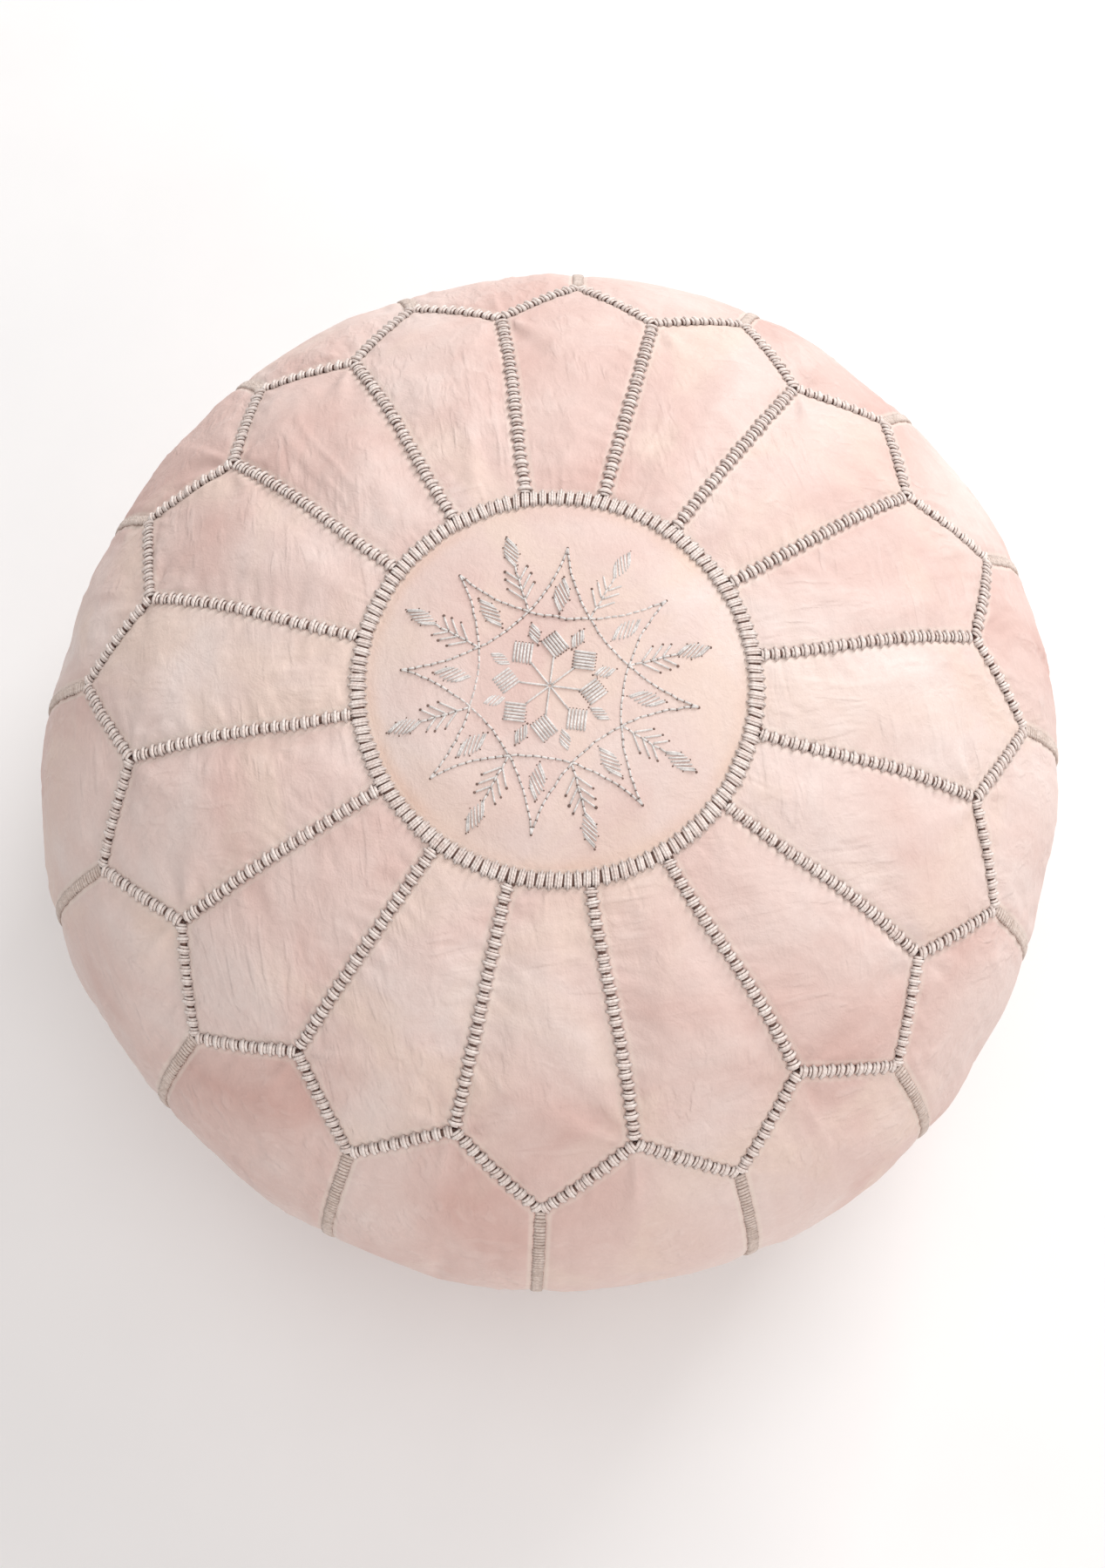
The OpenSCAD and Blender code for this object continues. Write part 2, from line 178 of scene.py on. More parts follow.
def noise(p, seed=0):
    """Smooth noise from -1 to 1 at points p, with features about 1 across."""
    p = np.asarray(p, float)
    low = np.floor(p).astype(np.int64)
    f = p - low
    f = f * f * f * (f * (f * 6 - 15) + 10)
    total = 0
    for corner in range(8):
        c = np.array([corner & 1, corner >> 1 & 1, corner >> 2 & 1])
        weight = np.prod(np.where(c, f, 1 - f), -1)
        total = total + weight * lattice(low + c, seed)
    return total


def noise2(x, y, seed=0):
    x, y = np.broadcast_arrays(x, y)
    return noise(np.stack([x, y, np.full_like(x, 0.37)], -1), seed)


# ---------------- meshes
def add_object(name, data):
    ob = bpy.data.objects.new(name, data)
    bpy.context.scene.collection.objects.link(ob)
    return ob


def points_of(*grids):
    """The points of some grids in one list."""
    return np.concatenate([np.reshape(g, (-1, 3)) for g in grids])


def mesh_object(name, verts, faces, materials, attributes=None, slots=None):
    """A smooth-shaded object. attributes maps a name to one number for each vertex."""
    me = bpy.data.meshes.new(name)
    me.from_pydata(np.asarray(verts, float).reshape(-1, 3).tolist(), [], [list(map(int, f)) for f in faces])
    me.polygons.foreach_set("use_smooth", [True] * len(me.polygons))
    for m in materials:
        me.materials.append(m)
    if slots is not None:
        me.polygons.foreach_set("material_index", np.asarray(slots, np.int32))
    for key, values in (attributes or {}).items():
        layer = me.attributes.new(key, "FLOAT", "POINT")
        layer.data.foreach_set("value", np.asarray(values, np.float32).ravel())
    me.update()
    return add_object(name, me)


def quads_of(grid, wrap=False, flip=False):
    """Quads between the rows and columns of a grid of vertex numbers."""
    if wrap:
        grid = np.hstack([grid, grid[:, :1]])
    quads = np.stack([grid[:-1, :-1], grid[1:, :-1], grid[1:, 1:], grid[:-1, 1:]], -1).reshape(-1, 4)
    return quads[:, ::-1] if flip else quads


def grid_faces(rows, cols, first=0, wrap=False, flip=False):
    """Quads of a grid of rows by cols points, which starts at the vertex first."""
    return quads_of(first + np.arange(rows * cols).reshape(rows, cols), wrap, flip)


def tube_faces(rows, sides, flip=False):
    """Quads of a tube of rows rings, and of its two flat ends. sides is even."""
    faces = [grid_faces(rows, sides, wrap=True)]
    for k in range(1, sides - 1, 2):
        end = np.array([[0, k, k + 1, k + 2]])
        faces += [end, end[:, ::-1] + (rows - 1) * sides]
    faces = np.concatenate(faces)
    return faces[:, ::-1] if flip else faces


def copies(faces, count, size):
    """The same faces for count meshes of size points each."""
    return (faces[None] + (np.arange(count) * size)[:, None, None]).reshape(-1, faces.shape[1])


def joined_rims(rim, other, turns, flip=False):
    """Quads between two rings of turns points, which start at the vertices rim and other."""
    return quads_of(np.arange(turns) + [[rim], [other]], True, flip)


def fan(middle, rim, turns, flip=False):
    """Triangles from a middle point to a ring of turns points, which starts at the vertex rim."""
    c = np.arange(turns)
    d = (c + 1) % turns
    faces = np.stack([c * 0 + middle, rim + c, rim + d], -1)
    return faces[:, ::-1] if flip else faces


def seam_mm(near):
    """Distances to a seam in millimetres, for the two sides of a sheet."""
    return np.tile(near.ravel(), 2) * 1000


def sheet_shell(outer, inner):
    """A closed sheet between two grids of points, with quads round its rim."""
    rows, cols = outer.shape[:2]
    count = rows * cols
    grid = np.arange(count).reshape(rows, cols)
    rim = np.concatenate([grid[0], grid[1:, -1], grid[-1, -2::-1], grid[-2:0:-1, 0]])
    edge = quads_of(np.stack([rim + count, rim]), True)
    faces = np.concatenate([grid_faces(rows, cols), grid_faces(rows, cols, count, flip=True), edge])
    return points_of(outer, inner), faces


def bowl(outer, inner):
    """Two walls of rings of points, joined at their last rings."""
    rows, turns = outer.shape[:2]
    count, last = rows * turns, (rows - 1) * turns
    faces = [grid_faces(rows, turns, wrap=True), grid_faces(rows, turns, count, wrap=True, flip=True)]
    return points_of(outer, inner), np.concatenate([*faces, joined_rims(last, last + count, turns)])


def settle(ob, node):
    """Rides a piece on the body, and hides the CAD node that it stands for, if any."""
    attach(ob, "root")
    if node:
        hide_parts(node)


class Pile:
    """Collects many small meshes into one."""

    def __init__(self):
        self.verts, self.faces, self.slots, self.ply, self.tip, self.count = [], [], [], [], [], 0

    def add(self, verts, faces, slot=0, ply=0.0, tip=0.0):
        """ply winds round a thread, and tip is 1 where it goes into the leather."""
        verts = np.asarray(verts, float).reshape(-1, 3)
        self.verts.append(verts)
        self.faces.append(np.asarray(faces) + self.count)
        self.slots.append(np.full(len(faces), slot))
        for store, value in ((self.ply, ply), (self.tip, tip)):
            store.append(np.broadcast_to(np.ravel(value), len(verts)))
        self.count += len(verts)

    def build(self, name, materials):
        return mesh_object(name, np.concatenate(self.verts), np.concatenate(self.faces), materials,
                           {"ply": np.concatenate(self.ply), "tip": np.concatenate(self.tip)},
                           np.concatenate(self.slots))


def unit(v):
    return v / np.linalg.norm(v, axis=-1, keepdims=True)


def run_along(points):
    """Distance run at each point of a path."""
    return np.concatenate([[0], np.cumsum(np.linalg.norm(np.diff(points, axis=0), axis=1))])


def bars(pile, origin, along, normal, length, height, radius, segments=9, dip=0.0, sink=0.35, blunt=0.75):
    """Stitches: each a thread that comes out of the leather, runs along a direction, and goes back in.

    blunt is 1 for a half-round stitch, and less for one with a flatter top.
    """
    n, sides = len(origin), 6
    along = unit(along - normal * np.sum(along * normal, -1, keepdims=True))
    across = np.cross(normal, along)
    length, height, radius = (np.broadcast_to(x, n).reshape(n, 1) for x in (length, height, radius))
    phi = np.linspace(-sink, math.pi + sink, segments + 1)
    cos, sin = np.cos(phi), np.sin(phi)
    x = -length / 2 * np.sign(cos) * np.abs(cos) ** blunt
    z = (height - radius) * np.sign(sin) * np.abs(sin) ** blunt
    z = z - dip * np.exp(-(x / (0.12 * length)) ** 2)
    dx, dz = np.gradient(x, axis=1), np.gradient(z, axis=1)
    size = np.hypot(dx, dz)
    nx, nz = -dz / size, dx / size
    turn = circle(sides) - math.pi / 2
    up, over = np.sin(turn), np.cos(turn)
    px = x[:, :, None] + radius[:, :, None] * nx[:, :, None] * up
    pz = z[:, :, None] + radius[:, :, None] * nz[:, :, None] * up
    py = radius[:, :, None] * over + np.zeros_like(px)
    points = (origin[:, None, None] + px[..., None] * along[:, None, None]
              + py[..., None] * across[:, None, None] + pz[..., None] * normal[:, None, None])
    faces = copies(tube_faces(segments + 1, sides), n, (segments + 1) * sides)
    run = np.cumsum(size, axis=1)[:, :, None] / 0.0016
    ply = run + turn / (2 * math.pi) + rng.random(n)[:, None, None]
    tip = np.broadcast_to(np.abs(cos)[:, None] ** blunt, ply.shape)
    pile.add(points, faces, 0, ply, tip)


def dots(pile, origin, normal, radius):
    """Needle holes: small domes that barely stand out of the leather, coloured dark as painted shade in the
    holes.
    """
    n, rings, sides = len(origin), 3, 8
    helper = np.where(np.abs(normal[:, :1]) < 0.8, [[1.0, 0, 0]], [[0, 1.0, 0]])
    u = unit(np.cross(normal, helper))
    v = np.cross(normal, u)
    radius = np.broadcast_to(radius, n)[:, None, None]
    lift = radius * np.array([0.22, 0.18, -0.6])[:, None]
    wide = radius * np.array([0.12, 0.75, 1.0])[:, None]
    turn = circle(sides)
    points = (origin[:, None, None] + (wide * np.cos(turn))[..., None] * u[:, None, None]
              + (wide * np.sin(turn))[..., None] * v[:, None, None] + lift[..., None] * normal[:, None, None])
    pile.add(points, copies(tube_faces(rings, sides), n, rings * sides), 1)


# ---------------- paths along the surface
def spaced(s, a, pitch, skip):
    """Places every pitch along a path over the body: point, direction and normal."""
    points = skin(s, a)
    run = run_along(points)
    usable = run[-1] - 2 * skip
    count = max(1, round(usable / pitch))
    at = skip + (np.arange(count) + 0.5) * usable / count
    here_s, here_a = np.interp(at, run, s), np.interp(at, run, a)
    point = skin(here_s, here_a)
    ahead = np.stack([np.interp(at + 1e-4, run, points[:, k]) for k in range(3)], -1)
    behind = np.stack([np.interp(at - 1e-4, run, points[:, k]) for k in range(3)], -1)
    return point, unit(ahead - behind), skin_normal(here_s, here_a)


def whip(pile, s, a, pitch, width, height, skip=0.0, strands=3, bead=0.0, dip=0.0, segments=9, slant=0.0,
         fill=0.44, blunt=0.75):
    """Whipped stitches across a seam, of one strand or three.

    bead is how much lower and shorter the outer strands are, and fill how much of the pitch they take up.
    """
    point, tangent, normal = spaced(s, a, pitch, skip)
    n = len(point)
    across = np.cross(normal, tangent)
    angle = slant + rng.normal(0, 0.05, n)
    across, tangent = (across * np.cos(angle)[:, None] + tangent * np.sin(angle)[:, None],
                       tangent * np.cos(angle)[:, None] - across * np.sin(angle)[:, None])
    size = 1 + rng.normal(0, 0.045, n)
    point = point + tangent * rng.normal(0, 0.03 * pitch, n)[:, None]
    point = point + across * rng.normal(0, 0.02 * width, n)[:, None]
    radius = fill * pitch / strands * (1 + rng.normal(0, 0.03, n))
    for k in range(strands):
        place = k - (strands - 1) / 2
        share = size * (1 - bead * abs(place))
        offset = tangent * (place * 1.84 * radius)[:, None]
        tall = height * share + rng.normal(0, 0.03 * height, n)
        bars(pile, point + offset, across, normal, width * share, tall, radius, segments, dip, blunt=blunt)


def welt(pile, s, a, width, height):
    """The edge of turned leather that the stitches wrap, dark with painted shade for the gaps between the
    stitches.
    """
    points, normal = skin(s, a), skin_normal(s, a)
    tangent = unit(np.gradient(points, axis=0))
    across = np.cross(normal, tangent)
    run = run_along(points)
    taper = 0.15 + 0.85 * smooth(np.minimum(run, run[-1] - run), 0.0, 0.005)
    if np.allclose(points[0], points[-1]):
        taper[:] = 1
    turn = circle(8)
    ring = (points[:, None] + (width / 2 * taper[:, None] * np.cos(turn))[..., None] * across[:, None]
            + (height * taper[:, None] * np.sin(turn))[..., None] * normal[:, None])
    pile.add(ring, tube_faces(len(s), len(turn), flip=True), 1)


# ---------------- materials
class Nodes:
    """Short names for building a node tree."""

    def __init__(self, name):
        self.mat = bpy.data.materials.new(name)
        self.mat.use_nodes = True
        self.tree = self.mat.node_tree
        self.tree.nodes.clear()
        self.bsdf = self.add("ShaderNodeBsdfPrincipled")
        self.add("ShaderNodeOutputMaterial", {"Surface": self.bsdf.outputs[0]})
        self.place = self.add("ShaderNodeTexCoord").outputs["Object"]

    def add(self, kind, inputs=None, **settings):
        """A node. inputs maps a socket's name or number to a constant or to another node's output."""
        node = self.tree.nodes.new(kind)
        for key, value in settings.items():
            setattr(node, key, value)
        for key, value in (inputs or {}).items():
            self.put(node.inputs[key], value)
        return node

    def put(self, socket, value):
        if isinstance(value, bpy.types.NodeSocket):
            self.tree.links.new(value, socket)
        elif socket.type == "RGBA":
            socket.default_value = (*value, 1)
        else:
            socket.default_value = value

    def noise(self, scale, detail=3.0, rough=0.55, distort=0.0, place=None):
        inputs = {"Vector": place or self.place, "Scale": scale, "Detail": detail, "Roughness": rough,
                  "Distortion": distort}
        return self.add("ShaderNodeTexNoise", inputs).outputs[0]

    def voronoi(self, scale):
        return self.add("ShaderNodeTexVoronoi", {"Vector": self.place, "Scale": scale}).outputs["Distance"]

    def turned(self, about_z, about_x, scale):
        """The object's coordinates, turned and then stretched."""
        inputs = {"Vector": self.place, "Rotation": (about_x, 0, about_z), "Scale": scale}
        return self.add("ShaderNodeMapping", inputs).outputs[0]

    def crease(self, place, scale):
        """Soft, nearly parallel waves, from 0 to 1."""
        return self.span(self.noise(scale, 1.6, 0.5, 0.5, place), 0.34, 0.66)

    def math(self, op, *values):
        return self.add("ShaderNodeMath", dict(enumerate(values)), operation=op).outputs[0]

    def times(self, a, b):
        return self.math("MULTIPLY", a, b)

    def ramp(self, value, *stops):
        """stops are (place, colour)."""
        n = self.add("ShaderNodeValToRGB", {0: value})
        e = n.color_ramp.elements
        while len(e) < len(stops):
            e.new(0.5)
        for item, (at, colour) in zip(e, stops):
            item.position = at
            item.color = (*colour, 1)
        return n.outputs[0]

    def span(self, value, low, high, to_low=0.0, to_high=1.0):
        """A smooth step from to_low, where value is at low, to to_high, where it is at high."""
        inputs = dict(enumerate((value, low, high, to_low, to_high)))
        return self.add("ShaderNodeMapRange", inputs, interpolation_type="SMOOTHSTEP").outputs[0]

    def mix(self, factor, a, b):
        """Colour a, with a factor of colour b over it."""
        return self.add("ShaderNodeMix", data_type="RGBA", inputs={0: factor, 6: a, 7: b}).outputs[2]

    def attribute(self, name):
        return self.add("ShaderNodeAttribute", attribute_name=name).outputs["Fac"]

    def bump(self, height, strength, distance, below=None):
        inputs = {"Height": height, "Strength": strength, "Distance": distance}
        if below is not None:
            inputs["Normal"] = below
        return self.add("ShaderNodeBump", inputs).outputs[0]

    def done(self, colour, roughness, normal=None, **constants):
        self.put(self.bsdf.inputs["Base Color"], colour)
        self.put(self.bsdf.inputs["Roughness"], roughness)
        if normal is not None:
            self.put(self.bsdf.inputs["Normal"], normal)
        for key, value in constants.items():
            self.bsdf.inputs[key.replace("_", " ")].default_value = value
        return self.mat


def srgb(r, g, b):
    """Linear colour from 0-255 screen values."""
    c = np.array([r, g, b]) / 255
    return tuple(float(x) for x in np.where(c <= 0.04045, c / 12.92, ((c + 0.055) / 1.055) ** 2.4))


def leather(name, pale, mid, deep, warm, warm_ring_shade_tint):
    """Vegetable-tanned leather: cloudy dye, pores, soft creases with a painted highlight on their crests, a
    painted highlight beside the seams, a painted warm shade inside the medallion's ring, and painted shade
    with some grime at the seams.
    """
    m = Nodes(name)
    tone = m.attribute("tone")
    cloud = m.math("ADD", m.noise(9.0, 4.0, 0.55, 0.6), m.times(tone, 0.065))
    colour = m.ramp(cloud, (0.21, deep), (0.46, mid), (0.71, pale))
    warmth = m.math("ADD", m.noise(13.0, 3.0, 0.5, 1.2), m.times(tone, 0.10))
    colour = m.mix(m.span(warmth, 0.46, 0.72, 0.0, 0.8), colour, warm)
    streak = m.noise(26.0, 5.0, 0.65, 2.0, m.turned(0, 0, (1.0, 1.0, 0.55)))
    colour = m.mix(m.span(streak, 0.55, 0.80, 0.0, 0.17), colour, deep)
    fleck = m.span(m.noise(420.0, 2.0, 0.6), 0.35, 0.75, 0.08, 0.0)
    colour = m.mix(fleck, colour, tuple(0.72 * c for c in deep))
    patch = m.noise(21.0, 2.0, 0.5, 0.8)
    first = m.crease(m.turned(0.6, 0.5, (1.0, 0.13, 1.0)), 210.0)
    second = m.crease(m.turned(-0.9, 0.2, (0.15, 1.0, 1.0)), 190.0)
    folds = m.math("ADD", m.times(first, m.span(patch, 0.46, 0.62)),
                   m.times(second, m.span(patch, 0.36, 0.52, 1.0, 0.0)))
    folds = m.times(folds, m.math("MULTIPLY_ADD", m.attribute("rim"), -0.75, 1.0))
    # painted highlight on the crests of the creases
    colour = m.mix(m.span(folds, 0.5, 1.0, 0.0, 0.10), colour, tuple(min(1.0, 1.10 * c) for c in pale))
    near, edge_highlight_cream = m.attribute("seam"), srgb(243, 230, 218)
    # painted warm shade, in patches, inside the medallion's ring seam
    warm_ring_shade = m.times(m.span(near, 4.0, 12.0, 1.0, 0.0), m.attribute("rim"))
    warm_ring_shade = m.times(warm_ring_shade, m.span(m.noise(11.0, 3.0), 0.40, 0.66, 0.0, 0.5))
    colour = m.mix(warm_ring_shade, colour, warm_ring_shade_tint)
    # painted highlight along the rolled leather edge beside each seam
    fold = m.times(m.span(near, 2.4, 3.2), m.span(near, 3.8, 5.6, 1.0, 0.0))
    colour = m.mix(m.times(fold, 0.30), colour, edge_highlight_cream)
    # the same painted highlight beside the side seams
    hem = m.attribute("hem")
    fold = m.times(m.span(hem, 2.4, 3.0), m.span(hem, 4.0, 5.5, 1.0, 0.0))
    colour = m.mix(m.times(fold, 0.22), colour, edge_highlight_cream)
    # painted shade, with some grime, where the leather dips into the seam
    colour = m.mix(m.span(near, 0.2, 2.2, 0.62, 0.0), colour, srgb(158, 112, 98))
    normal = m.bump(folds, 0.50, 0.0007)
    normal = m.bump(m.noise(75.0, 4.0, 0.6, 1.5), 0.40, 0.0014, normal)
    normal = m.bump(m.noise(330.0, 3.0, 0.6, 1.2, m.turned(0.2, 0.9, (1.0, 0.45, 1.0))), 0.22, 0.0005, normal)
    normal = m.bump(m.voronoi(950.0), 0.22, 0.0003, normal)
    normal = m.bump(m.noise(1500.0, 2.0, 0.6), 0.18, 0.0002, normal)
    rough = m.span(m.noise(70.0, 3.0), 0.3, 0.7, 0.52, 0.68)
    return m.done(colour, rough, normal, Specular_IOR_Level=0.34, Sheen_Weight=0.06, Sheen_Roughness=0.5)


def thread(name, pale, dark, shine, twist, tip_shade_and_grime):
    """Twisted thread: winding plies with painted shade between them, an uneven dye, and painted shade with
    some grime at the ends where it enters the leather.
    """
    m = Nodes(name)
    wind = m.math("SINE", m.times(m.attribute("ply"), 2 * math.pi))
    colour = m.ramp(m.noise(240.0, 4.0, 0.65), (0.32, dark), (0.62, pale))
    # painted shade in the grooves between the plies
    colour = m.mix(m.span(wind, -1.0, 0.1, 0.24 * twist, 0.0), colour, tuple(0.55 * c for c in dark))
    # painted shade, with some grime, at the ends where the thread enters the leather
    colour = m.mix(m.span(m.attribute("tip"), 0.5, 1.0, 0.0, tip_shade_and_grime), colour, tuple(0.45 * c for c in dark))
    normal = m.bump(wind, 0.5 * twist, 0.0003)
    normal = m.bump(m.noise(1800.0, 3.0, 0.7), 0.35, 0.0002, normal)
    return m.done(colour, m.span(m.noise(300.0, 2.0), 0.3, 0.7, 0.55, 0.75), normal, Specular_IOR_Level=shine,
                  Sheen_Weight=0.15)


def plain_dark(name, colour):
    """Painted shade: dark turned edges in the gaps between the stitches, and needle holes."""
    m = Nodes(name)
    shade = m.ramp(m.noise(600.0, 3.0, 0.6), (0.3, tuple(0.55 * c for c in colour)), (0.7, colour))
    return m.done(shade, m.span(m.noise(200.0), 0.3, 0.7, 0.7, 0.9), m.bump(m.noise(1200.0), 0.4, 0.0003))


def woven(name, pale, dark, count, slubs=0.25):
    """Plain-weave cloth with count threads to the metre each way."""
    m = Nodes(name)
    split = m.add("ShaderNodeSeparateXYZ", {0: m.place})
    waves = [m.math("SINE", m.times(split.outputs[k], 2 * math.pi * count)) for k in range(3)]
    weave = m.math("ADD", m.times(waves[0], waves[1]), m.times(waves[2], 0.7))
    colour = m.ramp(m.math("MULTIPLY_ADD", weave, 0.22, m.noise(90.0, 4.0)), (0.25, dark), (0.72, pale))
    colour = m.mix(m.span(m.noise(400.0, 3.0), 0.55, 0.8, 0.0, slubs), colour, dark)
    normal = m.bump(weave, 0.5, 0.0004)
    return m.done(colour, m.span(m.noise(120.0), 0.3, 0.7, 0.8, 0.95), normal, Specular_IOR_Level=0.2)


def wadding(name):
    """Loose fibre, with strands that cross in every direction."""
    m = Nodes(name)
    strands = m.noise(180.0, 8.0, 0.75, 4.0)
    colour = m.ramp(strands, (0.30, srgb(196, 190, 178)), (0.60, srgb(238, 235, 228)))
    normal = m.bump(strands, 0.8, 0.002)
    return m.done(colour, m.span(m.noise(60.0), 0.3, 0.7, 0.88, 1.0), normal, Specular_IOR_Level=0.1)


def metal(name, colour, worn):
    """Plated metal, brushed and rubbed through in places."""
    m = Nodes(name)
    rub = m.noise(350.0, 4.0, 0.6)
    shade = m.mix(m.span(rub, 0.52, 0.70), colour, worn)
    brush = m.noise(900.0, 3.0, 0.6, 0.0, m.turned(0, 0, (0.15, 1.0, 1.0)))
    normal = m.bump(brush, 0.15, 0.0001)
    return m.done(shade, m.span(brush, 0.3, 0.7, 0.24, 0.42), normal, Metallic=1.0)


PALE, MID, DEEP, WARM = srgb(239, 225, 219), srgb(231, 206, 198), srgb(215, 176, 166), srgb(236, 213, 200)
blush = leather("blush_leather", PALE, MID, DEEP, WARM, srgb(224, 186, 162))
under_leather = leather("base_leather", MID, DEEP, srgb(190, 148, 136), srgb(220, 184, 162), DEEP)
whip_thread = thread("whip_thread", srgb(250, 240, 234), srgb(229, 211, 203), 0.4, 0.55, 0.52)
side_thread = thread("side_thread", srgb(233, 218, 209), srgb(206, 188, 177), 0.2, 0.5, 0.25)
silver = thread("silver_thread", srgb(244, 240, 237), srgb(206, 200, 196), 0.6, 0.5, 0.25)
# dark brown painted shade for the gaps between the stitches and for the needle holes beside the seams
welt_and_hole_shade = plain_dark("welt_and_hole_shade", srgb(114, 85, 75))
# painted shade for the gaps between the side seams' stitches
side_welt_shade = plain_dark("side_welt_shade", srgb(176, 150, 137))
# painted shade for the needle holes
needle_hole = plain_dark("needle_hole", srgb(142, 116, 106))
tape_cloth = woven("tape_cloth", srgb(214, 188, 168), srgb(166, 138, 120), 1500.0)
liner_cotton = woven("liner_cotton", srgb(232, 225, 209), srgb(196, 187, 168), 900.0)
fibre = wadding("fibre_wadding")
nickel = metal("nickel_plate", (0.66, 0.64, 0.60), (0.62, 0.54, 0.38))
brass_teeth = metal("brass_teeth", (0.72, 0.62, 0.45), (0.56, 0.46, 0.30))

# ---------------- the camera
CAMERA_TURN, CAMERA_RISE, CAMERA_ROLL = (math.radians(x) for x in (-12.6, 75.8, -3.9))
VISUAL_R = 0.260  # the stuffed body's radius
CAMERA_DISTANCE = 3.5 * VISUAL_R
AIM = (-0.002 * VISUAL_R, -0.053 * VISUAL_R)  # where the view is centred, across and along it


def make_camera():
    data = bpy.data.cameras.new("camera")
    data.lens, data.sensor_width = 41.25, 36
    ob = add_object("camera", data)
    right = Vector((math.cos(CAMERA_TURN), math.sin(CAMERA_TURN), 0))
    ahead = Vector((-math.sin(CAMERA_TURN), math.cos(CAMERA_TURN), 0))
    back = -ahead * math.cos(CAMERA_RISE) + Vector((0, 0, math.sin(CAMERA_RISE)))
    target = right * AIM[0] + ahead * AIM[1] + Vector((0, 0, waist_z))
    up = back.cross(right)
    c, s = math.cos(CAMERA_ROLL), math.sin(CAMERA_ROLL)
    right, up = right * c - up * s, right * s + up * c
    turned = Matrix((right, up, back)).transposed().to_4x4()
    ob.matrix_world = Matrix.Translation(target + back * CAMERA_DISTANCE) @ turned
    bpy.context.scene.camera = ob


make_camera()

# ---------------- leather panels
SIM_COLS, PETAL_ROWS, SIDE_ROWS = 24, 32, 56


class Panel:
    """One leather panel as a grid over the body: rows run down from the crown, columns anticlockwise."""

    def __init__(self, kind, node, k, rows):
        self.name, self.node = f"{kind}_{k + 1:02d}", f"{node}_{k + 1:02d}"
        self.kind, self.k, self.rows = kind, k, rows
        self.middle = (k + 0.5) * STEP if kind == "petal" else k * STEP
        self.tone = float(rng.normal(0, 1))

    def places(self, rows, cols):
        """Distance along the outline and angle of each grid point."""
        u = np.linspace(-0.5, 0.5, cols + 1)[None, :]
        v = np.linspace(0, 1, rows + 1)[:, None]
        edge = self.middle + u * STEP
        zig = zigzag_s(edge)
        if self.kind == "petal":
            s = (s_ring + EDGE) * (1 - v) + (zig - EDGE) * v
        else:
            s = (zig + EDGE) * (1 - v) + s_base * v
        r = np.interp(s, S, R)
        a = self.middle + u * (STEP - 2 * EDGE / r)
        return s, a

    def seams(self, s, a):
        """Distance to each seam round the panel, and the distance run along that seam."""
        r = np.interp(s, S, R)
        left, right = r * (a - self.middle + STEP / 2), r * (self.middle + STEP / 2 - a)
        zig = zigzag_s(a)
        run = r * a
        if self.kind == "petal":
            return [(left, s), (right, s + 0.7), (s - s_ring, run), ((zig - s) * ZIGZAG_LEAN, run + 1.3)]
        return [(left, s), (right, s + 0.7), ((s - zig) * ZIGZAG_LEAN, run + 1.3), (s_base - s, run + 2.1)]

    def near(self, s, a, count=4):
        """Distance to the nearest of the first count seams."""
        return np.min([d for d, _ in self.seams(s, a)[:count]], axis=0)


panels = [Panel("petal", "top_petal", k, PETAL_ROWS) for k in range(PANELS)]
panels += [Panel("side", "side_panel", k, SIDE_ROWS) for k in range(PANELS)]
SWELL_CAP = {"petal": 0.0065, "side": 0.0030}  # the furthest a panel may swell
SIM_FRAMES = 20


def simulate(panels):
    """Blows the stuffing's pressure against the panels, which are held along their seams."""
    grids, faces, pins, loose = [], [], [], []
    count = 0
    for p in panels:
        s, a = p.places(p.rows, SIM_COLS)
        grid = skin(s, a)
        grids.append(grid)
        faces.append(grid_faces(p.rows + 1, SIM_COLS + 1, count))
        pins.append((1 - smooth(p.near(s, a), 0.0022, 0.0070)).ravel())
        loose.append((0.5 + 0.5 * noise(grid / 0.045, 11 + p.k)).ravel())
        count += s.size
    ob = mesh_object("pattern", points_of(*grids), np.concatenate(faces), [])
    for name, weights in (("held", np.concatenate(pins)), ("loose", np.concatenate(loose))):
        group = ob.vertex_groups.new(name=name)
        for i, w in enumerate(weights):
            if w > 0:
                group.add([i], float(w), "REPLACE")
    cloth = ob.modifiers.new("stuffing", "CLOTH")
    st = cloth.settings
    st.quality = 6
    st.mass = 0.25
    st.tension_stiffness = st.compression_stiffness = 45
    st.shear_stiffness = 20
    st.bending_stiffness = 1.2
    st.tension_damping = st.compression_damping = st.shear_damping = 8
    st.use_pressure = True
    st.uniform_pressure_force = 6.0
    st.vertex_group_mass = "held"
    st.vertex_group_shrink = "loose"
    st.shrink_min, st.shrink_max = -0.006, -0.030
    st.effector_weights.gravity = 0
    cloth.collision_settings.use_collision = False
    cloth.collision_settings.use_self_collision = False
    cloth.point_cache.frame_start, cloth.point_cache.frame_end = 1, SIM_FRAMES
    for f in range(1, SIM_FRAMES + 1):
        bpy.context.scene.frame_set(f)
    done = ob.evaluated_get(bpy.context.evaluated_depsgraph_get())
    moved = np.empty(count * 3, np.float32)
    done.data.vertices.foreach_get("co", moved)
    moved = moved.reshape(-1, 3).astype(float)
    bpy.context.scene.frame_set(1)
    bpy.data.objects.remove(ob)
    shifts = []
    for p, grid in zip(panels, grids):
        shift = moved[:grid.size // 3].reshape(grid.shape) - grid
        moved = moved[grid.size // 3:]
        far = np.linalg.norm(shift, axis=-1, keepdims=True)
        cap = SWELL_CAP[p.kind]
        shifts.append(shift * cap * np.tanh(far / cap) / np.maximum(far, 1e-9))
    return shifts


